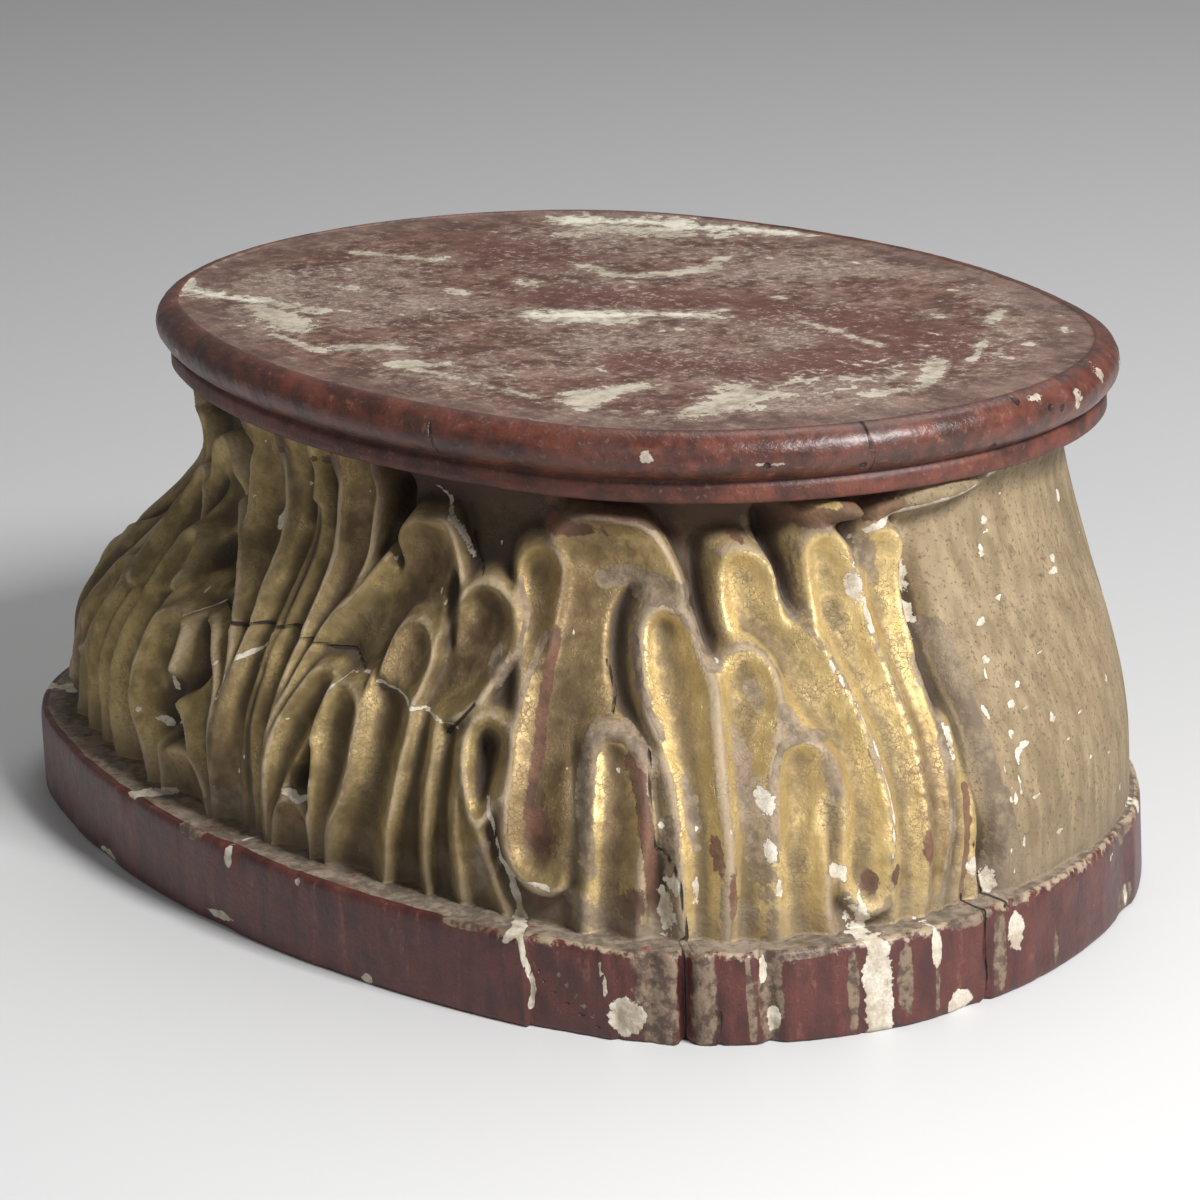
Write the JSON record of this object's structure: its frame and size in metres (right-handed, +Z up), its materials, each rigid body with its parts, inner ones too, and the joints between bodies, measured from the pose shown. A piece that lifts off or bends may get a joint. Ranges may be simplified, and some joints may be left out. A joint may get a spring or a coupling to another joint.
{
  "type": "oval carved statue base",
  "caption": "Oval base of carved, painted and gilded wood: moulded top board over an acanthus-carved bell on a red foot band.",
  "frame": {"origin": "middle of the underside of the foot", "axes": "+X along the long axis, +Y from the carved front to the plain back, +Z up"},
  "size_m": [0.464, 0.32, 0.18],
  "materials": {
    "gilded_wood": "worn gilding over red bole and gesso",
    "painted_board": "worn oxblood paint over gesso"
  },
  "bodies": {
    "root": {"carved_block": "gilded_wood", "top_board": "painted_board"}
  },
  "joints": []
}
